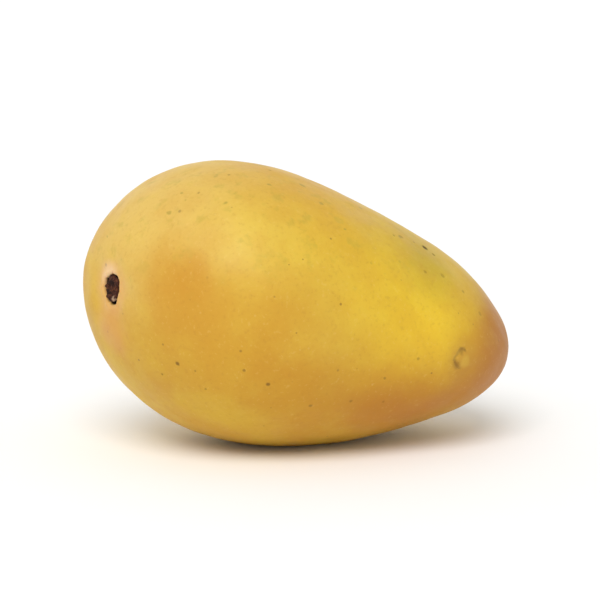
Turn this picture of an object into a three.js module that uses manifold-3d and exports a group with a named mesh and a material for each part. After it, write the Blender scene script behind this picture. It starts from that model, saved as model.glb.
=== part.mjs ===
// A whole ripe mango lying on its flatter cheek, with the dried remnant of its stalk seated in the pit.
// Millimetres, +Z up. +X runs from the stalk end to the tip, and the belly side, with the beak, faces -Y.
// The origin is at the bottom centre of the bounding box.
//
// The skin is one smooth map from directions to points: every unit vector, taken from the middle of the
// fruit, has one point of the skin. A finer mesh of the same map gives the same fruit.
import * as THREE from "three";
import { mergeVertices } from "three/addons/utils/BufferGeometryUtils.js";
import Module from "manifold-3d";

const wasm = await Module();
wasm.setup();

// Overall form.
const HALF_LENGTH = 56.5;
const HALF_BREADTH = 41; // across the fruit, level with the floor
const HALF_HEIGHT = 36; // cheek to cheek
const BREADTH_TAPER = 0.17; // share lost from the stalk end to the middle, and again to the tip
const HEIGHT_TAPER = 0.29;
const BREADTH_FULLNESS = 0.1; // share by which both ends are blunter than an ellipse's
const HEIGHT_FULLNESS = 0.03;
const AXIS_DROP = 9.2; // how far the long axis sinks from the middle to the tip
const AXIS_ARCH = 1.8; // how far both of its ends hang below a straight line
const BEND_RADIUS = 160; // the long axis bends round a centre on the belly side

// Relief. Each feature is a direction from the middle, a height and an angular width in radians.
const STALK_DIRECTION = new THREE.Vector3(-0.999, -0.029, 0.044).normalize();
const BEAK_DIRECTION = new THREE.Vector3(0.78, -0.62, -0.05).normalize();
const SINUS_DIRECTION = new THREE.Vector3(0.3, -0.95, -0.05).normalize();
const STALK_DIMPLE = { at: STALK_DIRECTION, height: -2.2, width: 0.19 };
const BEAK = { at: BEAK_DIRECTION, height: 1.1, width: 0.3 };
const SINUS = { at: SINUS_DIRECTION, height: -1, width: 0.42 };
const WAVE_HEIGHT = 0.55; // low swells along the upper cheek
const WAVES = 5; // half waves from the stalk end to the tip

// The spot that the fruit has flattened by lying on it.
const FLAT_DEPTH = 0.8;

// The stalk's pit and the woody remnant in it.
const PIT_RADIUS = 4;
const PIT_FLOOR_RADIUS = 3.5;
const PIT_DEPTH = 2.6;
const STUB_RADIUS = 3.1;
const STUB_LOBE = 0.3; // how far the five lobes of the torn edge stand out
const STUB_LOBES = 5;
const STUB_BEVEL = 0.4;
const STUB_PROUD = 0.5; // above the mouth of the pit
const CLEARANCE = 0.3; // between the remnant and the pit

// Mesh resolution.
const SKIN_TURNS = 80;
const SKIN_RINGS = 44;
const PIT_TURNS = 40;
const STUB_POINTS = 40;
const LOST_DETAIL = 1e-3; // vertices closer than this are one

const LARGE = 400; // a block larger than the fruit
const NORMAL_STEP = 1e-3;

// A low rise, or a dent where height is negative, that dies away with the angle from its centre.
function swelling(direction, { at, height, width }) {
  const angle = direction.angleTo(at);
  return height * Math.exp(-((angle / width) ** 2));
}

// Long swells that run round the upper cheek and fade to nothing underneath.
function waves(direction) {
  const polar = Math.acos(THREE.MathUtils.clamp(-direction.x, -1, 1));
  const upper = (1 + direction.z) / 2;
  return WAVE_HEIGHT * upper * Math.cos(WAVES * polar);
}

// Where the skin lies in a direction from the middle of the fruit.
function skinPoint(direction) {
  const along = direction.x;
  const breadth = HALF_BREADTH * (1 - BREADTH_TAPER * along + BREADTH_FULLNESS * along ** 2);
  const height = HALF_HEIGHT * (1 - HEIGHT_TAPER * along + HEIGHT_FULLNESS * along ** 2);
  const relief =
    waves(direction) +
    swelling(direction, STALK_DIMPLE) +
    swelling(direction, BEAK) +
    swelling(direction, SINUS);

  const x = HALF_LENGTH * along + relief * direction.x;
  const y = (breadth + relief) * direction.y;
  const z = (height + relief) * direction.z - AXIS_DROP * along - AXIS_ARCH * along ** 2;

  const bend = x / BEND_RADIUS;
  return new THREE.Vector3(
    (BEND_RADIUS + y) * Math.sin(bend),
    (BEND_RADIUS + y) * Math.cos(bend) - BEND_RADIUS,
    z,
  );
}

// The outward normal of the skin in a direction, from two short steps across it.
function skinNormal(direction) {
  const across = new THREE.Vector3().crossVectors(direction, new THREE.Vector3(0, 0, 1)).normalize();
  const upwards = new THREE.Vector3().crossVectors(across, direction);
  const at = skinPoint(direction);
  const [a, b] = [across, upwards].map((step) =>
    skinPoint(direction.clone().addScaledVector(step, NORMAL_STEP).normalize()).sub(at),
  );
  const normal = a.cross(b).normalize();
  return normal.dot(direction) < 0 ? normal.negate() : normal;
}

// A closed three.js geometry as a solid that can be cut.
function toSolid(geometry) {
  const bare = geometry.clone();
  bare.deleteAttribute("normal");
  bare.deleteAttribute("uv");
  const merged = mergeVertices(bare, LOST_DETAIL);
  return new wasm.Manifold(
    new wasm.Mesh({
      numProp: 3,
      vertProperties: merged.getAttribute("position").array,
      triVerts: new Uint32Array(merged.index.array),
    }),
  );
}

function toGeometry(solid) {
  const mesh = solid.getMesh();
  const geometry = new THREE.BufferGeometry();
  geometry.setAttribute("position", new THREE.BufferAttribute(mesh.vertProperties, 3));
  geometry.setIndex(new THREE.BufferAttribute(mesh.triVerts, 1));
  geometry.computeVertexNormals();
  return geometry;
}

// The skin as a sphere whose pole, where the mesh is finest, is at the stalk.
function makeSkin() {
  const geometry = new THREE.SphereGeometry(1, SKIN_TURNS, SKIN_RINGS);
  const toStalk = new THREE.Quaternion().setFromUnitVectors(new THREE.Vector3(0, 1, 0), STALK_DIRECTION);
  const position = geometry.getAttribute("position");
  const direction = new THREE.Vector3();
  for (let i = 0; i < position.count; i++) {
    direction.fromBufferAttribute(position, i).applyQuaternion(toStalk).normalize();
    position.setXYZ(i, ...skinPoint(direction).toArray());
  }
  return geometry;
}

// Everything below the plane of the flat spot.
function makeFloorCutter(skin) {
  skin.computeBoundingBox();
  const geometry = new THREE.BoxGeometry(LARGE, LARGE, LARGE);
  geometry.translate(0, 0, skin.boundingBox.min.z + FLAT_DEPTH - LARGE / 2);
  return geometry;
}

// A shallow cup, turned about +Y, whose mouth is at height 0 and which runs on upwards to clear the skin.
function makePitCutter() {
  const wall = PIT_RADIUS - PIT_FLOOR_RADIUS;
  const profile = [
    new THREE.Vector2(0, -PIT_DEPTH),
    new THREE.Vector2(PIT_FLOOR_RADIUS - wall, -PIT_DEPTH),
    new THREE.Vector2(PIT_FLOOR_RADIUS, wall - PIT_DEPTH),
    new THREE.Vector2(PIT_RADIUS, 0),
    new THREE.Vector2(PIT_RADIUS, PIT_DEPTH),
    new THREE.Vector2(0, PIT_DEPTH),
  ];
  return new THREE.LatheGeometry(profile, PIT_TURNS);
}

// The broken stalk: a short five-lobed peg with a bevelled, torn-off top, standing on +Z.
function makeStub() {
  const outline = new THREE.Shape();
  for (let i = 0; i < STUB_POINTS; i++) {
    const angle = (i / STUB_POINTS) * 2 * Math.PI;
    const radius = STUB_RADIUS - STUB_BEVEL + STUB_LOBE * Math.cos(STUB_LOBES * angle);
    outline[i ? "lineTo" : "moveTo"](radius * Math.cos(angle), radius * Math.sin(angle));
  }
  outline.closePath();
  const geometry = new THREE.ExtrudeGeometry(outline, {
    depth: PIT_DEPTH - CLEARANCE + STUB_PROUD - 2 * STUB_BEVEL,
    bevelThickness: STUB_BEVEL,
    bevelSize: STUB_BEVEL,
    bevelSegments: 2,
  });
  geometry.translate(0, 0, STUB_BEVEL + CLEARANCE - PIT_DEPTH);
  return geometry;
}

const stalkPoint = skinPoint(STALK_DIRECTION);
const stalkNormal = skinNormal(STALK_DIRECTION);

const skin = makeSkin();
const pit = makePitCutter()
  .applyQuaternion(new THREE.Quaternion().setFromUnitVectors(new THREE.Vector3(0, 1, 0), stalkNormal))
  .translate(...stalkPoint.toArray());
const fruitSolid = toSolid(skin).subtract(toSolid(makeFloorCutter(skin))).subtract(toSolid(pit));

const fruit = new THREE.Mesh(
  toGeometry(fruitSolid),
  new THREE.MeshStandardMaterial({ color: 0xdfb146, roughness: 0.45, metalness: 0 }),
);
fruit.name = "mango_fruit";

const stub = new THREE.Mesh(
  makeStub(),
  new THREE.MeshStandardMaterial({ color: 0x4a2418, roughness: 0.9, metalness: 0 }),
);
stub.name = "stalk_stub";
stub.position.copy(stalkPoint);
stub.quaternion.setFromUnitVectors(new THREE.Vector3(0, 0, 1), stalkNormal);

// Both pieces are set down together, with the middle of their box over the origin.
const pieces = new THREE.Group();
pieces.add(fruit, stub);
const box = new THREE.Box3().setFromObject(pieces, true);
const middle = box.getCenter(new THREE.Vector3());
pieces.position.set(-middle.x, -middle.y, -box.min.z);

const mango = new THREE.Group();
mango.add(pieces);

export default mango;
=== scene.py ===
"""A whole ripe mango lying on its cheek: waxy mottled skin over a fine mesh, and a torn stalk in its pit."""

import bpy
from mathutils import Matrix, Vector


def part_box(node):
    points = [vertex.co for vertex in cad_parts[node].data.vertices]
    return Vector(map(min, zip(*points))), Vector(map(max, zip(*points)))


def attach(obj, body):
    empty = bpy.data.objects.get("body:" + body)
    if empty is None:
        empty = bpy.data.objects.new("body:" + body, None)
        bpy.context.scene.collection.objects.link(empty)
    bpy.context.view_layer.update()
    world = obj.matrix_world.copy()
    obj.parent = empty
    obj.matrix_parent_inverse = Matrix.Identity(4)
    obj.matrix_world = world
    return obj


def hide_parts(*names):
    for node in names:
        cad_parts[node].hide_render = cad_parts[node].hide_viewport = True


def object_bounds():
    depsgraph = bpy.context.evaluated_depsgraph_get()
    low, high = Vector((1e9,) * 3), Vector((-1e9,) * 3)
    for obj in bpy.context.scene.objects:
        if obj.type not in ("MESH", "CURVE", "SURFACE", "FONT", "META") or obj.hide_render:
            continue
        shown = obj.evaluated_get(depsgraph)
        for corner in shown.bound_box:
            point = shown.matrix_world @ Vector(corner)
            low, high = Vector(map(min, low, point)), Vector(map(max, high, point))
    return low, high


bl_info = {
    "name": "Ripe Mango",
    "version": (1, 0, 0),
    "blender": (4, 5, 0),
    "location": "3D Viewport > Sidebar > Mango",
    "description": "Builds a ripe mango's skin and dry stalk remnant around its solid frame",
    "category": "Object",
}

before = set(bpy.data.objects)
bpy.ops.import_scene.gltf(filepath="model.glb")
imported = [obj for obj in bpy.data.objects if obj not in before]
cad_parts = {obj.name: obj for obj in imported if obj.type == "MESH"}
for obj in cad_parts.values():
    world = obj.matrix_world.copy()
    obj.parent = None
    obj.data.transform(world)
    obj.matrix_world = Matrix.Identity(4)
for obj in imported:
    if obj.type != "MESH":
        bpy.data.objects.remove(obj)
CAD_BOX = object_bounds()

import math

import bpy
import numpy as np
from bpy.props import FloatProperty, FloatVectorProperty, IntProperty, PointerProperty
from mathutils import Vector, noise

MM = 0.001
BODY = "root"

# The fruit's form, as in its solid. A unit vector from the middle of the fruit maps to one point of the
# skin; +X is the tip, -Y the belly side with the beak, +Z up.
HALF_LENGTH = 56.5 * MM
HALF_BREADTH = 41 * MM
HALF_HEIGHT = 36 * MM
BREADTH_TAPER, BREADTH_FULLNESS = 0.17, 0.1
HEIGHT_TAPER, HEIGHT_FULLNESS = 0.29, 0.03
AXIS_DROP, AXIS_ARCH = 9.2 * MM, 1.8 * MM
BEND_RADIUS = 160 * MM
WAVE_HEIGHT, WAVES = 0.55 * MM, 5
SWELL_WIDTH = 19 * MM

STALK = Vector((-0.999, -0.029, 0.044)).normalized()
BEAK = Vector((0.78, -0.62, -0.05)).normalized()
BEAK_SCAR = Vector((0.74, -0.67, -0.05)).normalized()
SINUS = Vector((0.3, -0.95, -0.05)).normalized()
# Direction, height and angular width in radians of each swelling or hollow.
SWELLINGS = (
    (STALK, -2.2 * MM, 0.19),
    (BEAK, 1.1 * MM, 0.3),
    (SINUS, -1.0 * MM, 0.42),
)

# The pit that the stalk leaves, and what the eye sees of the stalk in it.
PIT_RADIUS = 4.0 * MM
PIT_DEPTH = 2.6 * MM
STUB_RADIUS = 3.35 * MM
STUB_PROUD = 0.55 * MM
COLLAR_HEIGHT = 0.3 * MM
FOLD_HEIGHT, FOLDS = 0.16 * MM, 5


def linear(hex_colour):
    """An sRGB hex colour such as "#e0b040" as linear red, green and blue."""
    channels = [int(hex_colour[i : i + 2], 16) / 255 for i in (1, 3, 5)]
    return tuple(c / 12.92 if c <= 0.04045 else ((c + 0.055) / 1.055) ** 2.4 for c in channels)


def smooth_step(low, high, value):
    """0 at low, 1 at high, and smooth between them; low may be the larger."""
    t = np.clip((value - low) / (high - low), 0, 1)
    return t * t * (3 - 2 * t)


# ---------------------------------------------------------------- the fruit's form


def relief(directions):
    """How far the skin stands off the plain form in each direction."""
    x, z = directions[:, 0], directions[:, 2]
    polar = np.arccos(np.clip(-x, -1, 1))
    height = WAVE_HEIGHT * (1 + z) / 2 * np.cos(WAVES * polar)
    for at, rise, width in SWELLINGS:
        angle = np.arccos(np.clip(directions @ np.array(at), -1, 1))
        height += rise * np.exp(-((angle / width) ** 2))
    return height


def plain_skin(directions):
    """The point of the skin in each direction, before the fruit is set down."""
    u, v, w = directions.T
    rise = relief(directions)
    breadth = HALF_BREADTH * (1 - BREADTH_TAPER * u + BREADTH_FULLNESS * u**2)
    height = HALF_HEIGHT * (1 - HEIGHT_TAPER * u + HEIGHT_FULLNESS * u**2)
    x = (HALF_LENGTH + rise) * u
    y = (breadth + rise) * v
    z = (height + rise) * w - AXIS_DROP * u - AXIS_ARCH * u**2
    bend = x / BEND_RADIUS
    reach = BEND_RADIUS + y
    return np.stack([reach * np.sin(bend), reach * np.cos(bend) - BEND_RADIUS, z], 1)


def set_down_offset():
    """What moves the plain skin into the solid's place: centred on its box, with the tops level."""
    steps = 240
    polar = np.repeat(np.linspace(0, np.pi, steps), steps)
    turn = np.tile(np.linspace(0, 2 * np.pi, steps, endpoint=False), steps)
    points = plain_skin(
        np.stack([np.cos(polar), np.sin(polar) * np.cos(turn), np.sin(polar) * np.sin(turn)], 1)
    )
    low, high = (np.array(corner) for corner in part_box("mango_fruit"))
    middle = (points.max(0) + points.min(0)) / 2
    offset = (low + high) / 2 - middle
    offset[2] = high[2] - points[:, 2].max()
    return offset


OFFSET = set_down_offset()


def skin_point(direction):
    """The point of the skin in one direction, in the frame."""
    return Vector(plain_skin(np.array([direction]))[0] + OFFSET)


def skin_frame(direction):
    """A point of the skin, two directions along the skin there, level and rising, and the outward normal."""
    step = 0.01
    level = Vector((direction.y, -direction.x, 0)).normalized()
    rising = direction.cross(level)
    if rising.z < 0:
        rising.negate()
    at = skin_point(direction)
    a = skin_point((direction + level * step).normalized()) - at
    b = skin_point((direction + rising * step).normalized()) - at
    normal = a.cross(b).normalized()
    if normal.dot(direction) < 0:
        normal.negate()
    level = (a - normal * a.dot(normal)).normalized()
    return at, level, normal.cross(level) * (1 if normal.cross(level).z > 0 else -1), normal


STALK_POINT, STALK_LEVEL, STALK_RISING, STALK_NORMAL = skin_frame(STALK)


def pit_rim(turn):
    """The radius of the pit's ragged mouth at each angle round the stalk."""
    lobes = 0.05 * np.cos(2 * turn + 3.0) + 0.09 * np.cos(3 * turn - 0.8)
    ragged = 0.03 * np.cos(7 * turn + 2.1) + 0.016 * np.cos(12 * turn) + 0.012 * np.cos(19 * turn + 1.0)
    return PIT_RADIUS * (0.97 + lobes + ragged)


def ring_angles(rings):
    """Angles from the stalk to each ring of the skin's mesh: close at the pit's wall, wide elsewhere."""
    skin_per_radian = 50 * MM
    floor = np.linspace(0, 2.9 * MM, 6)[1:] / skin_per_radian
    pit_shade = np.arange(3.0 * MM, 5.2 * MM, 0.11 * MM) / skin_per_radian
    spread = np.linspace(0, 1, rings - len(floor) - len(pit_shade) + 1)[1:-1]
    start = pit_shade[-1]
    rest = start + (np.pi - start) * (0.16 * spread + 0.84 * spread**1.12)
    return np.concatenate([floor, pit_shade, rest])


def grid_faces(rings, turns):
    """Quads between the rings of vertices, which are laid out ring by ring, and a fan at each pole. All of
    them face outwards where the turns run clockwise as seen from outside the first pole."""
    faces = []
    for ring in range(rings - 1):
        for turn in range(turns):
            a = 1 + ring * turns + turn
            b = 1 + ring * turns + (turn + 1) % turns
            faces.append((a, b, b + turns, a + turns))
    last = 1 + (rings - 1) * turns
    for turn in range(turns):
        after = (turn + 1) % turns
        faces.append((0, 1 + after, 1 + turn))
        faces.append((last + turns, last + turn, last + after))
    return faces


def new_mesh_object(name, points, faces, material):
    """A smooth-shaded mesh object in the scene, its place in its mesh."""
    mesh = bpy.data.meshes.new(name)
    mesh.from_pydata([tuple(p) for p in points], [], faces)
    mesh.polygons.foreach_set("use_smooth", [True] * len(mesh.polygons))
    mesh.materials.append(material)
    mesh.validate()
    made = bpy.data.objects.new(name, mesh)
    bpy.context.scene.collection.objects.link(made)
    return made


def fractal(point, wavelength, octaves=2):
    """Smooth noise from about -1 to 1 whose swells are a wavelength across."""
    total = 0.0
    for octave in range(octaves):
        scale = 2**octave
        total += noise.noise(Vector(point) * (scale / wavelength)) / scale
    return total


def fruit_points(rings, turns, swell_height):
    """The vertices of the skin, from the bottom of the pit to the tip."""
    angles = ring_angles(rings)
    turn = np.linspace(0, 2 * np.pi, turns, endpoint=False)
    stalk, level = np.array(STALK), np.array(STALK_LEVEL)
    level = level - stalk * level.dot(stalk)
    level /= np.linalg.norm(level)
    rising = np.cross(stalk, level)
    rising *= math.copysign(1, rising[2])
    polar, around = (grid.ravel() for grid in np.meshgrid(angles, turn, indexing="ij"))
    directions = (
        np.cos(polar)[:, None] * stalk
        + (np.sin(polar) * np.cos(around))[:, None] * level
        + (np.sin(polar) * np.sin(around))[:, None] * rising
    )
    directions = np.vstack([stalk, directions, -stalk])
    points = plain_skin(directions) + OFFSET

    normals = outward_normals(directions)
    swells = np.array([fractal(p, SWELL_WIDTH, 3) for p in points])
    away = points - np.array(STALK_POINT)
    out = away @ np.array(STALK_NORMAL)
    across = np.linalg.norm(away - out[:, None] * np.array(STALK_NORMAL), axis=1)
    angle_round = np.arctan2(away @ np.array(STALK_RISING), away @ np.array(STALK_LEVEL))
    near_stalk = (directions @ stalk) > 0.8
    far_share = 9.0
    share = np.where(near_stalk, across / pit_rim(angle_round), far_share)
    points += normals * (swell_height * swells * smooth_step(1.2, 3, share))[:, None]
    points += np.array(STALK_NORMAL) * stalk_end_rise(share, angle_round)[:, None]
    points += normals * beak_scar_rise(points)[:, None]
    return set_down(points)


def outward_normals(directions):
    """Normals of the plain skin, from short steps across each direction."""
    step = 1e-3
    helper = np.where(np.abs(directions[:, 2:3]) < 0.9, [[0.0, 0.0, 1.0]], [[1.0, 0.0, 0.0]])
    a = np.cross(directions, helper)
    a /= np.linalg.norm(a, axis=1, keepdims=True)
    b = np.cross(directions, a)
    sides = []
    for side in (a, b):
        moved = directions + step * side
        sides.append(plain_skin(moved / np.linalg.norm(moved, axis=1, keepdims=True)))
    here = plain_skin(directions)
    normals = np.cross(sides[0] - here, sides[1] - here)
    normals /= np.linalg.norm(normals, axis=1, keepdims=True)
    return normals * np.sign((normals * directions).sum(1, keepdims=True))


def stalk_end_rise(share, angle):
    """The pit's wall and floor, the swollen collar round it, and the shallow folds that run out from it.
    share is the distance from the pit's middle, 1 at its mouth."""
    pit = -PIT_DEPTH * smooth_step(1.03, 0.84, share)
    collar = COLLAR_HEIGHT * np.exp(-(((share - 1.2) / 0.17) ** 2))
    folds = FOLD_HEIGHT * np.cos(FOLDS * angle + 0.6) * np.exp(-(((share - 2.1) / 0.8) ** 2))
    return pit + collar + folds


def set_down(points):
    """Flattens the skin softly where it lies on the floor."""
    softness, reach = 0.3 * MM, 3 * MM
    z = points[:, 2]
    points[:, 2] = np.where(z < reach, (z + np.sqrt(z**2 + softness**2)) / 2, z)
    return points


# The beak's scar is a C-shaped crease in the skin, open towards the tip, with a corky spot at each end.
SCAR_POINT, SCAR_LEVEL, SCAR_RISING, SCAR_NORMAL = skin_frame(BEAK_SCAR)
# +1 where SCAR_LEVEL runs towards the tip, so that the crease is on the stalk's side of the beak.
SCAR_SIDE = 1 if SCAR_LEVEL.x > 0 else -1
SCAR_RADIUS = 2.3 * MM
SCAR_WIDTH = 0.5 * MM
SCAR_DEPTH = 0.16 * MM
# Level and rising offsets and radius, in mm.
SCAR_SPOTS = ((-0.6, 2.0, 0.75), (-1.3, -1.7, 1.0), (-1.9, -1.2, 0.6), (0.3, 2.2, 0.45))


def beak_scar_rise(points):
    """The crease of the beak's scar."""
    away = points - np.array(SCAR_POINT)
    level, rising = away @ np.array(SCAR_LEVEL), away @ np.array(SCAR_RISING)
    radius = np.hypot(level, rising)
    close = np.linalg.norm(away, axis=1) < 3 * SCAR_RADIUS
    groove = np.exp(-(((radius - SCAR_RADIUS) / (1.6 * SCAR_WIDTH)) ** 2))
    side = smooth_step(1.2 * MM, -1.2 * MM, level * SCAR_SIDE)
    return np.where(close, -SCAR_DEPTH * groove * side, 0)


# ---------------------------------------------------------------- materials


def add_node(tree, kind, inputs, **settings):
    """Adds a node with its settings. An input is a number, a colour, or the socket that it comes from."""
    node = tree.nodes.new(kind)
    for name, value in settings.items():
        setattr(node, name, value)
    for name, value in inputs.items():
        if isinstance(value, bpy.types.NodeSocket):
            tree.links.new(value, node.inputs[name])
        else:
            node.inputs[name].default_value = value
    return node


def new_material(name):
    """An empty node material with its output, and the object coordinates that its patterns follow."""
    material = bpy.data.materials.new(name)
    material.use_nodes = True
    tree = material.node_tree
    tree.nodes.clear()
    coordinates = tree.nodes.new("ShaderNodeTexCoord").outputs["Object"]
    return material, tree, coordinates


# ShaderNodeMix holds its sockets for every type at once; these are the colour ones.
MIX_FACTOR, MIX_A, MIX_B, MIX_COLOUR = 0, 6, 7, 2


def mixed(tree, factor, a, b, blend="MIX"):
    """Colour a turned towards colour b by factor."""
    inputs = {MIX_FACTOR: factor, MIX_A: four(a), MIX_B: four(b)}
    node = add_node(tree, "ShaderNodeMix", inputs, data_type="RGBA", blend_type=blend)
    return node.outputs[MIX_COLOUR]


def four(colour):
    """A linear colour with alpha, or the socket itself."""
    return colour if isinstance(colour, bpy.types.NodeSocket) else (*tuple(colour)[:3], 1.0)


def calculated(tree, operation, a, b=0.0, c=0.0):
    """One arithmetic step; only MULTIPLY_ADD, which is a * b + c, uses c."""
    return add_node(tree, "ShaderNodeMath", {0: a, 1: b, 2: c}, operation=operation).outputs[0]


def ranged(tree, value, low, high, start=0.0, end=1.0):
    """value from low to high, turned smoothly into start to end."""
    inputs = {"Value": value, "From Min": low, "From Max": high, "To Min": start, "To Max": end}
    node = add_node(tree, "ShaderNodeMapRange", inputs, interpolation_type="SMOOTHSTEP")
    return node.outputs["Result"]


def mottle(tree, coordinates, size, detail=2.0, roughness=0.5, distortion=0.0):
    """Noise from 0 to 1 whose blotches are about size across, in metres."""
    inputs = {
        "Vector": coordinates,
        "Scale": 1 / size,
        "Detail": detail,
        "Roughness": roughness,
        "Distortion": distortion,
    }
    return add_node(tree, "ShaderNodeTexNoise", inputs).outputs["Fac"]


def distance_from(tree, coordinates, point):
    """How far the surface is from a point."""
    inputs = {0: coordinates, 1: tuple(point)}
    return add_node(tree, "ShaderNodeVectorMath", inputs, operation="DISTANCE").outputs["Value"]


def warped(tree, coordinates, size, reach):
    """Coordinates pushed about by noise, so that what is painted with them has an uneven edge."""
    shift = add_node(tree, "ShaderNodeTexNoise", {"Vector": coordinates, "Scale": 1 / size, "Detail": 3.0})
    inputs = {0: shift.outputs["Color"], 1: (0.5, 0.5, 0.5)}
    centred = add_node(tree, "ShaderNodeVectorMath", inputs, operation="SUBTRACT")
    inputs = {0: centred.outputs[0], "Scale": 2 * reach}
    scaled = add_node(tree, "ShaderNodeVectorMath", inputs, operation="SCALE")
    inputs = {0: coordinates, 1: scaled.outputs[0]}
    return add_node(tree, "ShaderNodeVectorMath", inputs, operation="ADD").outputs[0]


# The tints that run into one another over the golden skin. The shoulder is the palest, partly its bloom and
# partly painted light where the light falls from the upper left; the parts that the sun reached are amber;
# the last of the green leaves olive; and the tip's blush is partly the ripening skin and partly painted shade
# and orange reflection, as are the amber and blush low on the front.
CREAM = "#d8b460"
STRAW = "#dcbc48"
GOLD = "#d2a032"
LEMON = "#e8c430"
AMBER = "#c48a26"
OLIVE = "#a49026"
# The tip's tint: a ripening blush that also serves as painted shade and orange reflection at the tip and
# along the bottom.
BLUSH_AND_SHADE = "#a8581e"

# Where each tint lies: a direction from the fruit's middle, a radius in mm, the tint and how strong it is.
COLOUR_AREAS = (
    # The pale shoulder and stalk end: partly the skin's bloom, partly a painted highlight where the light
    # falls from the upper left.
    ((-0.7, -0.25, 0.65), 46, CREAM, 0.7),
    ((-1.0, -0.1, 0.35), 28, CREAM, 0.55),
    ((-0.35, -0.75, 0.55), 26, STRAW, 0.65),
    ((0.25, -0.6, 0.75), 34, LEMON, 0.45),
    ((0.0, -0.3, 0.95), 34, GOLD, 0.6),
    ((-0.85, -0.5, 0.1), 20, AMBER, 0.6),
    ((-0.8, -0.55, 0.2), 9, AMBER, 0.5),
    # Low on the front: amber and blush that are partly the skin's own colour and partly painted shade and
    # orange reflection along the bottom.
    ((-0.6, -0.75, -0.2), 30, AMBER, 0.55),
    ((-0.9, -0.3, -0.35), 24, BLUSH_AND_SHADE, 0.18),
    ((0.05, -0.95, -0.45), 36, AMBER, 0.6),
    ((0.45, -0.8, -0.45), 25, AMBER, 0.75),
    ((0.5, -0.75, -0.55), 30, BLUSH_AND_SHADE, 0.42),
    ((0.0, -1.0, 0.2), 24, STRAW, 0.35),
    ((0.65, -0.6, 0.3), 28, LEMON, 0.6),
    ((0.4, -0.8, 0.2), 26, LEMON, 0.55),
    ((0.6, -0.45, 0.7), 16, OLIVE, 0.38),
    ((0.45, -0.45, 0.75), 26, OLIVE, 0.16),
    # Round the tip: blush that is partly the ripening skin and partly painted shade and orange reflection.
    ((0.95, -0.3, 0.0), 27, BLUSH_AND_SHADE, 0.55),
    ((1.0, -0.05, 0.05), 24, BLUSH_AND_SHADE, 0.42),
    ((0.85, 0.3, 0.15), 32, BLUSH_AND_SHADE, 0.22),
    ((0.8, -0.45, -0.45), 26, BLUSH_AND_SHADE, 0.4),
    ((0.1, 0.85, 0.45), 34, AMBER, 0.45),
    ((-0.6, 0.75, -0.15), 28, STRAW, 0.45),
    ((0.6, 0.7, 0.2), 24, LEMON, 0.35),
    ((0.0, 0.2, -1.0), 42, GOLD, 0.5),
)

# Real sizes of the skin's patterns. The grain of cells and the pores are drawn coarser than they are, so
# that they show.
BLOTCH_SIZE = 22 * MM
MARBLING_SIZE = 9 * MM
GRAIN_SIZE = 1.1 * MM
PALE_PORE_SPACING = 2.9 * MM
BROWN_PORE_SPACING = 4.3 * MM
DRIFT_SIZE = 26 * MM
FRECKLE_SPACING, FRECKLE_RADIUS = 4.6 * MM, 0.75 * MM
CLOUD_SIZE = 5 * MM
RUBBED_SIZE = 8 * MM
PEEL_SIZE = 2.4 * MM
# How much rougher than wax the flecks, the corky spots and the pit's wall are.
DRY_ROUGHER = 0.35

# Dark flecks and old nicks: direction, radius in mm, and how dark.
FLECKS = (
    ((0.58, -0.26, 0.78), 1.0, 0.9),
    ((0.62, -0.27, 0.74), 0.6, 0.55),
    ((0.45, -0.35, 0.82), 0.8, 0.3),
    ((-0.83, -0.46, -0.31), 0.6, 0.65),
    ((-0.86, -0.34, -0.39), 0.45, 0.5),
    ((-0.76, -0.54, -0.34), 0.35, 0.4),
    ((-0.56, -0.77, -0.31), 0.45, 0.5),
    ((-0.42, -0.82, -0.39), 0.6, 0.6),
    ((-0.7, -0.55, -0.45), 0.4, 0.4),
    ((-0.98, 0.03, 0.17), 0.5, 0.6),
    ((-0.45, -0.3, 0.85), 0.4, 0.35),
    ((-0.2, -0.2, 0.95), 0.5, 0.4),
    ((0.4, -0.4, 0.8), 0.45, 0.35),
    ((0.3, -0.9, -0.3), 0.45, 0.4),
    ((0.55, -0.55, 0.6), 0.6, 0.3),
    ((0.65, -0.45, 0.6), 0.8, 0.28),
    ((0.75, -0.4, 0.5), 0.6, 0.3),
    ((0.85, -0.4, 0.35), 0.7, 0.25),
    ((0.5, -0.85, -0.1), 0.45, 0.35),
    ((0.1, -0.85, -0.5), 0.5, 0.35),
    ((-0.15, -0.85, -0.55), 0.55, 0.4),
    ((0.3, -0.8, -0.5), 0.45, 0.3),
    ((-0.75, -0.35, 0.55), 0.5, 0.35),
    ((-0.65, -0.35, 0.7), 0.4, 0.3),
    ((0.2, 0.7, 0.65), 0.6, 0.6),
    ((-0.5, 0.8, 0.3), 0.5, 0.5),
    ((0.7, 0.6, -0.3), 0.55, 0.5),
)


def painted_areas(tree, coordinates, colour):
    """The soft areas laid over a colour one after another, each with an uneven edge."""
    uneven = warped(tree, coordinates, 14 * MM, 5 * MM)
    for direction, radius, tint, strength in COLOUR_AREAS:
        centre = skin_point(Vector(direction).normalized())
        away = distance_from(tree, uneven, centre)
        amount = ranged(tree, away, radius * MM, 0.15 * radius * MM, 0.0, strength)
        colour = mixed(tree, amount, colour, linear(tint))
    return colour


def fleck_mask(tree, coordinates):
    """1 inside each dark fleck."""
    uneven = warped(tree, coordinates, 0.8 * MM, 0.22 * MM)
    mask = None
    for direction, radius, darkness in FLECKS:
        centre = skin_point(Vector(direction).normalized())
        away = distance_from(tree, uneven, centre)
        spot = ranged(tree, away, 1.3 * radius * MM, 0.45 * radius * MM, 0.0, darkness)
        mask = spot if mask is None else calculated(tree, "MAXIMUM", mask, spot)
    return mask


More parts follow.
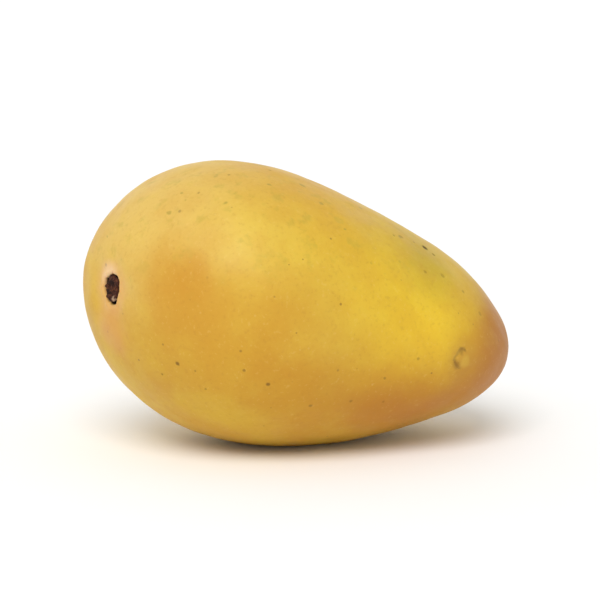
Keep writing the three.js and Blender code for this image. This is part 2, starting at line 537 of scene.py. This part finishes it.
def pores(tree, coordinates, spacing, radius, share):
    """Scattered round pores: 1 at the middle of each, with only a share of the cells holding one."""
    cells = add_node(tree, "ShaderNodeTexVoronoi", {"Vector": coordinates, "Scale": 1 / spacing})
    away = calculated(tree, "MULTIPLY", cells.outputs["Distance"], spacing)
    chance = add_node(tree, "ShaderNodeSeparateColor", {"Color": cells.outputs["Color"]})
    present = calculated(tree, "LESS_THAN", chance.outputs["Red"], share)
    smallest, spread = 0.6, 0.6
    size = calculated(tree, "MULTIPLY_ADD", chance.outputs["Green"], spread, smallest)
    reach = calculated(tree, "DIVIDE", away, calculated(tree, "MULTIPLY", size, radius))
    return calculated(tree, "MULTIPLY", ranged(tree, reach, 1.25, 0.5), present)


def along(tree, coordinates, point, axis):
    """How far the surface is from a point along one axis."""
    inputs = {0: coordinates, 1: tuple(point)}
    moved = add_node(tree, "ShaderNodeVectorMath", inputs, operation="SUBTRACT").outputs[0]
    inputs = {0: moved, 1: tuple(axis)}
    return add_node(tree, "ShaderNodeVectorMath", inputs, operation="DOT_PRODUCT").outputs["Value"]


def beak_scar_masks(tree, coordinates):
    """The crease of the beak's scar and the corky spots at its ends."""
    uneven = warped(tree, coordinates, 2.0 * MM, 0.9 * MM)
    away = distance_from(tree, uneven, SCAR_POINT)
    off_line = calculated(tree, "ABSOLUTE", calculated(tree, "SUBTRACT", away, SCAR_RADIUS))
    level = along(tree, uneven, SCAR_POINT, SCAR_LEVEL * SCAR_SIDE)
    line = ranged(tree, off_line, 1.3 * SCAR_WIDTH, 0.2 * SCAR_WIDTH)
    line = calculated(tree, "MULTIPLY", line, ranged(tree, level, 1.3 * MM, -0.6 * MM))
    spots = None
    for across, up, radius in SCAR_SPOTS:
        centre = SCAR_POINT + SCAR_LEVEL * SCAR_SIDE * across * MM + SCAR_RISING * up * MM
        away = distance_from(tree, uneven, centre)
        spot = ranged(tree, away, 1.9 * radius * MM, 0.2 * radius * MM)
        spots = spot if spots is None else calculated(tree, "MAXIMUM", spots, spot)
    return line, spots


def waxy_ripe_mango_skin(settings):
    """Ripe mango skin under its natural wax: a satin, slightly see-into surface. Light goes a millimetre or
    so into the flesh and comes back warm, so the shade side stays golden; the wax gives broad soft
    highlights, and corky pores, flecks and the green left at the tip break up the yellow."""
    material, tree, coordinates = new_material("Waxy Ripe Mango Skin")

    blotches = mottle(tree, coordinates, BLOTCH_SIZE, 3.0, 0.55, 0.4)
    blotched = ranged(tree, blotches, 0.35, 0.65)
    ground = mixed(tree, blotched, settings.skin_colour, settings.skin_second_colour)
    colour = painted_areas(tree, coordinates, ground)

    # Fainter marbling within the areas, and a fine grain of cells.
    marbling = mottle(tree, warped(tree, coordinates, 12 * MM, 4 * MM), MARBLING_SIZE, 4.0, 0.6)
    colour = mixed(tree, ranged(tree, marbling, 0.6, 0.34, 0.0, 0.2), colour, linear(AMBER))
    colour = mixed(tree, ranged(tree, marbling, 0.5, 0.74, 0.0, 0.14), colour, linear(STRAW))
    grain = mottle(tree, coordinates, GRAIN_SIZE, 3.0, 0.6)
    colour = mixed(tree, ranged(tree, grain, 0.52, 0.74, 0.0, 0.22), colour, linear("#b07a2c"))
    colour = mixed(tree, ranged(tree, grain, 0.42, 0.28, 0.0, 0.12), colour, linear("#ecd080"))

    # Pores: pale corky ones all over, and fewer brown ones in drifts.
    pale = pores(tree, coordinates, PALE_PORE_SPACING, settings.pore_radius, 0.6)
    brown = pores(tree, coordinates, BROWN_PORE_SPACING, 1.1 * settings.pore_radius, 0.5)
    drifts = ranged(tree, mottle(tree, coordinates, DRIFT_SIZE, 2.0), 0.38, 0.6, 0.15, 1.0)
    brown = calculated(tree, "MULTIPLY", brown, calculated(tree, "MULTIPLY", drifts, 0.75))
    colour = mixed(tree, calculated(tree, "MULTIPLY", pale, 0.1), colour, linear("#ecd894"))
    colour = mixed(tree, brown, colour, settings.pore_colour)

    # Freckles of olive where the last green goes, near the tip and along the back.
    uneven = warped(tree, coordinates, 2.5 * MM, 1 * MM)
    olive = pores(tree, uneven, FRECKLE_SPACING, FRECKLE_RADIUS, 0.5)
    height_up = along(tree, coordinates, (0, 0, 0), (0, 0, 1))
    top_only = ranged(tree, height_up, 40 * MM, 62 * MM, 0.0, 0.55)
    colour = mixed(tree, calculated(tree, "MULTIPLY", olive, top_only), colour, linear("#9c8834"))
    cloud = ranged(tree, mottle(tree, coordinates, CLOUD_SIZE, 3.0, 0.6), 0.54, 0.7, 0.0, 0.6)
    colour = mixed(tree, calculated(tree, "MULTIPLY", cloud, top_only), colour, linear("#ac9634"))

    flecks = fleck_mask(tree, coordinates)
    colour = mixed(tree, flecks, colour, linear("#4a2e16"))

    # The stalk end: a pale pinkish collar, a redder smear below it, and painted shade darkening the pit's
    # wall.
    collar_edge = distance_from(tree, warped(tree, coordinates, 3 * MM, 0.8 * MM), STALK_POINT)
    colour = mixed(tree, ranged(tree, collar_edge, 9 * MM, 4.4 * MM, 0.0, 0.5), colour, linear("#dba672"))
    pale_rim = STALK_POINT + STALK_RISING * (3.0 * MM) + STALK_LEVEL * (1.2 * MM)
    rim = distance_from(tree, coordinates, pale_rim)
    colour = mixed(tree, ranged(tree, rim, 5.2 * MM, 1.5 * MM, 0.0, 0.55), colour, linear("#ecc9a2"))
    smear_at = STALK_POINT - STALK_RISING * (11 * MM)
    smear = distance_from(tree, warped(tree, coordinates, 5 * MM, 2 * MM), smear_at)
    colour = mixed(tree, ranged(tree, smear, 10 * MM, 2 * MM, 0.0, 0.5), colour, linear("#cf8c55"))
    # Painted shade: the pit's wall, below its mouth and close to the stalk, is darkened nearly to black.
    depth = along(tree, coordinates, STALK_POINT, STALK_NORMAL)
    pit_shade = ranged(tree, depth, -0.15 * MM, -0.7 * MM)
    close = ranged(tree, collar_edge, 6 * MM, 5 * MM)
    pit_shade = calculated(tree, "MULTIPLY", pit_shade, close)
    colour = mixed(tree, pit_shade, colour, linear("#2c120b"))

    line, spots = beak_scar_masks(tree, coordinates)
    cork = distance_from(tree, warped(tree, coordinates, 4 * MM, 1.2 * MM), SCAR_POINT)
    colour = mixed(tree, ranged(tree, cork, 7 * MM, 2 * MM, 0.0, 0.3), colour, linear("#b98c3a"))
    crescent_at = SCAR_POINT + SCAR_LEVEL * (SCAR_SIDE * 1.2 * MM) - SCAR_RISING * (0.6 * MM)
    crescent = distance_from(tree, warped(tree, coordinates, 2 * MM, 0.6 * MM), crescent_at)
    colour = mixed(tree, ranged(tree, crescent, 2.2 * MM, 0.8 * MM, 0.0, 0.28), colour, linear(STRAW))
    colour = mixed(tree, calculated(tree, "MULTIPLY", line, 0.45), colour, linear("#907430"))
    colour = mixed(tree, calculated(tree, "MULTIPLY", spots, 0.65), colour, linear("#86602a"))

    # The wax is rubbed thinner in patches; the flecks, the corky spots and the pit's wall, darkened as
    # painted shade, have none.
    rubbed = mottle(tree, coordinates, RUBBED_SIZE, 4.0, 0.6)
    dry = calculated(tree, "MAXIMUM", calculated(tree, "MAXIMUM", flecks, pit_shade), spots)
    rough = calculated(tree, "MULTIPLY_ADD", dry, DRY_ROUGHER, settings.skin_roughness)
    rough = calculated(tree, "ADD", rough, ranged(tree, rubbed, 0.3, 0.7, -0.06, 0.08))

    principled = add_node(
        tree,
        "ShaderNodeBsdfPrincipled",
        {
            "Base Color": colour,
            "Roughness": rough,
            "IOR": 1.45,
            "Specular IOR Level": 0.26,
            "Subsurface Weight": 0.22,
            "Subsurface Radius": (1.0, 0.55, 0.18),
            "Subsurface Scale": 2.2 * MM,
            "Coat Weight": 0.05,
            "Coat Roughness": 0.32,
            "Coat IOR": 1.44,
            "Normal": skin_bumps(tree, coordinates, pale, brown, flecks, line, spots),
        },
        distribution="MULTI_GGX",
    )
    output = tree.nodes.new("ShaderNodeOutputMaterial")
    tree.links.new(principled.outputs[0], output.inputs["Surface"])
    return material


def skin_bumps(tree, coordinates, pale, brown, flecks, line, spots):
    """Fine relief that the mesh is too coarse for: cell grain, raised pores, sunken flecks and the crease."""
    peel = mottle(tree, coordinates, PEEL_SIZE, 3.0, 0.55)
    grain = mottle(tree, coordinates, 0.7 * MM, 2.0, 0.6)
    height = calculated(tree, "MULTIPLY", peel, 0.09 * MM)
    for amount, rise in (
        (grain, 0.02 * MM),
        (pale, 0.035 * MM),
        (brown, 0.05 * MM),
        (flecks, -0.1 * MM),
        (line, -0.1 * MM),
        (spots, 0.14 * MM),
    ):
        height = calculated(tree, "ADD", height, calculated(tree, "MULTIPLY", amount, rise))
    bump = add_node(tree, "ShaderNodeBump", {"Height": height, "Strength": 0.6, "Distance": 1.0})
    return bump.outputs["Normal"]


def torn_dry_stalk(settings):
    """Stalk wood torn across and dried nearly black: dull, fibrous, with paler fibre ends and a crumb of
    bare pith at its lower edge."""
    material, tree, coordinates = new_material("Torn Dry Stalk")
    fibres = mottle(tree, coordinates, 0.55 * MM, 4.0, 0.7)
    torn = ranged(tree, fibres, 0.42, 0.7)
    colour = mixed(tree, torn, settings.wood_colour, settings.fibre_colour)
    pits = mottle(tree, coordinates, 1.3 * MM, 2.0)
    colour = mixed(tree, ranged(tree, pits, 0.5, 0.36, 0.0, 0.8), colour, linear("#190a07"))
    crumb_at = STALK_POINT - STALK_RISING * (2.6 * MM) - STALK_LEVEL * (1.2 * MM)
    crumb = distance_from(tree, warped(tree, coordinates, 0.9 * MM, 0.3 * MM), crumb_at)
    colour = mixed(tree, ranged(tree, crumb, 1.1 * MM, 0.5 * MM, 0.0, 0.85), colour, linear("#d3b394"))
    height = calculated(tree, "MULTIPLY", fibres, 0.25 * MM)
    bump = add_node(tree, "ShaderNodeBump", {"Height": height, "Strength": 0.8, "Distance": 1.0})
    principled = add_node(
        tree,
        "ShaderNodeBsdfPrincipled",
        {
            "Base Color": colour,
            "Roughness": 0.82,
            "IOR": 1.5,
            "Specular IOR Level": 0.3,
            "Normal": bump.outputs["Normal"],
        },
    )
    output = tree.nodes.new("ShaderNodeOutputMaterial")
    tree.links.new(principled.outputs[0], output.inputs["Surface"])
    return material


def matt_paper_sweep(settings):
    """A sweep of matt white paper: even, with no gloss of its own."""
    material, tree, _ = new_material("Matt Paper Sweep")
    principled = add_node(
        tree,
        "ShaderNodeBsdfPrincipled",
        {"Base Color": four(settings.floor_colour), "Roughness": 0.9, "Specular IOR Level": 0.2},
    )
    output = tree.nodes.new("ShaderNodeOutputMaterial")
    tree.links.new(principled.outputs[0], output.inputs["Surface"])
    return material


# ---------------------------------------------------------------- settings


class FruitSettings(bpy.types.PropertyGroup):
    """The fruit's mesh and skin."""

    rings: IntProperty(name="Rings", description="Rings of vertices from stalk to tip", default=236, min=80)
    turns: IntProperty(name="Turns", description="Vertices round each ring", default=264, min=64)
    swell_height: FloatProperty(
        name="Swells", description="Height of the skin's low swells", default=0.32 * MM, unit="LENGTH"
    )
    skin_colour: FloatVectorProperty(
        name="Skin", description="Golden ground of the skin", subtype="COLOR", default=linear("#cca030")
    )
    skin_second_colour: FloatVectorProperty(
        name="Second skin", description="Yellower blotches", subtype="COLOR", default=linear("#d4b038")
    )
    skin_roughness: FloatProperty(
        name="Skin roughness", description="Of the wax on the skin", default=0.47, min=0, max=1
    )
    pore_radius: FloatProperty(
        name="Pores", description="Radius of a usual pore", default=0.3 * MM, unit="LENGTH"
    )
    pore_colour: FloatVectorProperty(
        name="Brown pores", description="Corky brown pores", subtype="COLOR", default=linear("#8c6428")
    )


class StalkSettings(bpy.types.PropertyGroup):
    """The dry stalk in the pit."""

    radius: FloatProperty(
        name="Radius", description="Mean radius of the remnant", default=STUB_RADIUS, unit="LENGTH"
    )
    proud: FloatProperty(
        name="Proud", description="How far it stands above the pit's mouth", default=STUB_PROUD, unit="LENGTH"
    )
    wood_colour: FloatVectorProperty(
        name="Wood", description="Dried wood", subtype="COLOR", default=linear("#3b1a10")
    )
    fibre_colour: FloatVectorProperty(
        name="Fibre ends", description="Paler torn fibres", subtype="COLOR", default=linear("#6e4024")
    )


class StageSettings(bpy.types.PropertyGroup):
    """The floor, the lights and the camera."""

    floor_colour: FloatVectorProperty(
        name="Floor", description="Paper of the sweep", subtype="COLOR", default=linear("#fcfcfb")
    )
    camera_azimuth: FloatProperty(
        name="Azimuth", description="Camera's turn from -Y", default=math.radians(-14), subtype="ANGLE"
    )
    camera_elevation: FloatProperty(
        name="Elevation", description="Camera's height angle", default=math.radians(9), subtype="ANGLE"
    )
    camera_distance: FloatProperty(
        name="Distance", description="Camera from the fruit's middle", default=0.669, unit="LENGTH"
    )


# ---------------------------------------------------------------- operators


class GrowFruit(bpy.types.Operator):
    """Make the fruit's skin in place of its plain solid"""

    bl_idname = "mango.grow_fruit"
    bl_label = "Grow Fruit"

    def execute(self, context):
        settings = context.scene.mango_fruit
        points = fruit_points(settings.rings, settings.turns, settings.swell_height)
        faces = grid_faces(settings.rings - 1, settings.turns)
        fruit = new_mesh_object("fruit_skin", points, faces, waxy_ripe_mango_skin(settings))
        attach(fruit, BODY)
        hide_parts("mango_fruit")
        return {"FINISHED"}


class SeatStalk(bpy.types.Operator):
    """Make the torn remnant of the stalk in its pit"""

    bl_idname = "mango.seat_stalk"
    bl_label = "Seat Stalk"

    def execute(self, context):
        settings = context.scene.mango_stalk
        rings, turns = 34, 120
        points = stub_points(settings.radius, settings.proud, rings, turns)
        faces = grid_faces(rings, turns)
        stub = new_mesh_object("torn_stalk", points, faces, torn_dry_stalk(settings))
        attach(stub, BODY)
        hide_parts("stalk_stub")
        return {"FINISHED"}


def stub_points(radius, proud, rings, turns):
    """The remnant: a hollow-topped torn crown of fibres, then down its side to its foot in the pit."""
    top_rings = rings - 10
    foot = -PIT_DEPTH + 0.3 * MM
    points = [Vector((0, 0, 0))]
    profile = [((ring + 1) / top_rings, None) for ring in range(top_rings)]
    profile += [(0.99 - 0.012 * step, step / 9) for step in range(10)]
    for share, down in profile:
        for turn in range(turns):
            angle = 2 * math.pi * turn / turns
            outline = 1 + 0.07 * math.cos(2 * angle + 3.0) + 0.07 * math.cos(5 * angle)
            outline += 0.09 * noise.noise(Vector((3 * math.cos(angle), 3 * math.sin(angle), 4.2)))
            reach = share * radius * outline
            x, y = reach * math.cos(angle), reach * math.sin(angle)
            height = torn_height(x, y, share, proud)
            if down is not None:
                height += (foot - height) * down
            points.append(Vector((x, y, height)))
    points[0].z = torn_height(0, 0, 0, proud)
    points.append(Vector((0, 0, foot)))
    return [STALK_POINT + STALK_LEVEL * p.x + STALK_RISING * p.y + STALK_NORMAL * p.z for p in points]


def torn_height(x, y, share, proud):
    """The torn top: a rim of standing fibres round a sunken, lumpy middle."""
    coarse = noise.noise(Vector((x, y, 0)) / (1.5 * MM))
    fine = noise.noise(Vector((x, y, 9 * MM)) / (0.5 * MM))
    rim = math.exp(-(((share - 0.8) / 0.22) ** 2))
    edge = max(0.0, share - 0.9) * 10
    return proud * (-0.6 + 1.5 * rim + 1.1 * coarse + 0.7 * fine - 0.9 * edge)


class SetStage(bpy.types.Operator):
    """Lay the sweep, hang the lights and place the camera"""

    bl_idname = "mango.set_stage"
    bl_label = "Set Stage"

    def execute(self, context):
        settings = context.scene.mango_stage
        lay_sweep(settings)
        hang_lights(context.scene)
        place_camera(context.scene, settings)
        return {"FINISHED"}


def lay_sweep(settings):
    """Paper that lies flat under the fruit and rises in a wide curve behind it."""
    half_width, front, back, curve, top = 3.0, -3.0, 1.4, 1.2, 3.0
    profile = [(front, 0.0), (back, 0.0)]
    steps = 16
    for step in range(1, steps + 1):
        angle = math.pi / 2 * step / steps
        profile.append((back + curve * math.sin(angle), curve * (1 - math.cos(angle))))
    profile.append((back + curve, top))
    points = [(side * half_width, y, z) for y, z in profile for side in (-1, 1)]
    faces = [(2 * i, 2 * i + 1, 2 * i + 3, 2 * i + 2) for i in range(len(profile) - 1)]
    sweep = new_mesh_object("paper_floor", points, faces, matt_paper_sweep(settings))


# The key light is broad and even, so that the whole sweep is lit alike; the soft box adds the sheen.
KEY_DIRECTION = (-0.3, -0.7, 0.9)
KEY_STRENGTH = 1.6
KEY_SPREAD = math.radians(38)
SOFT_BOX_DIRECTION = (-0.75, -0.6, 0.8)
SOFT_BOX_DISTANCE, SOFT_BOX_SIZE, SOFT_BOX_POWER = 0.9, 0.5, 0.9
WORLD_STRENGTH = 0.58


def hang_lights(scene):
    """A broad key light and a soft box from the upper left, in an even pale surround."""
    middle = (CAD_BOX[0] + CAD_BOX[1]) / 2
    key = hung_lamp(scene, "key_light", "SUN", middle, KEY_DIRECTION, 2.0)
    key.energy = KEY_STRENGTH
    key.angle = KEY_SPREAD
    box = hung_lamp(scene, "soft_box", "AREA", middle, SOFT_BOX_DIRECTION, SOFT_BOX_DISTANCE)
    box.shape = "DISK"
    box.size = SOFT_BOX_SIZE
    box.energy = SOFT_BOX_POWER
    world = bpy.data.worlds.new("pale_surround")
    world.use_nodes = True
    background = world.node_tree.nodes["Background"]
    background.inputs["Color"].default_value = (1.0, 1.0, 1.0, 1.0)
    background.inputs["Strength"].default_value = WORLD_STRENGTH
    scene.world = world
    scene.view_settings.view_transform = "Standard"


def hung_lamp(scene, name, kind, middle, direction, distance):
    """A lamp in that direction from the fruit, aimed at its middle."""
    lamp = bpy.data.lights.new(name, kind)
    holder = bpy.data.objects.new(name, lamp)
    scene.collection.objects.link(holder)
    holder.location = middle + Vector(direction).normalized() * distance
    holder.rotation_euler = (middle - holder.location).to_track_quat("-Z", "Y").to_euler()
    return lamp


def place_camera(scene, settings):
    """A long lens that looks a little down on the fruit's flank, from the stalk's side."""
    lens = bpy.data.cameras.new("camera")
    lens.lens = 150
    lens.sensor_width = 36
    holder = bpy.data.objects.new("camera", lens)
    scene.collection.objects.link(holder)
    middle = (CAD_BOX[0] + CAD_BOX[1]) / 2
    azimuth, elevation = settings.camera_azimuth, settings.camera_elevation
    back = Vector(
        (
            math.sin(azimuth) * math.cos(elevation),
            -math.cos(azimuth) * math.cos(elevation),
            math.sin(elevation),
        )
    )
    holder.location = middle + back * settings.camera_distance
    holder.rotation_euler = (-back).to_track_quat("-Z", "Y").to_euler()
    scene.camera = holder


class MangoPanel(bpy.types.Panel):
    """The steps that build the mango"""

    bl_idname = "VIEW3D_PT_mango"
    bl_label = "Mango"
    bl_space_type = "VIEW_3D"
    bl_region_type = "UI"
    bl_category = "Mango"

    def draw(self, context):
        for operator in OPERATORS:
            self.layout.operator(operator.bl_idname)


OPERATORS = (GrowFruit, SeatStalk, SetStage)
SETTINGS = {"mango_fruit": FruitSettings, "mango_stalk": StalkSettings, "mango_stage": StageSettings}


def register():
    for made in (*SETTINGS.values(), *OPERATORS, MangoPanel):
        bpy.utils.register_class(made)
    for name, group in SETTINGS.items():
        setattr(bpy.types.Scene, name, PointerProperty(type=group))


def unregister():
    for name in SETTINGS:
        delattr(bpy.types.Scene, name)
    for made in reversed((*SETTINGS.values(), *OPERATORS, MangoPanel)):
        bpy.utils.unregister_class(made)


def main():
    """Builds every piece."""
    register()
    bpy.ops.mango.grow_fruit()
    bpy.ops.mango.seat_stalk()
    bpy.ops.mango.set_stage()


if __name__ == "__main__":
    main()
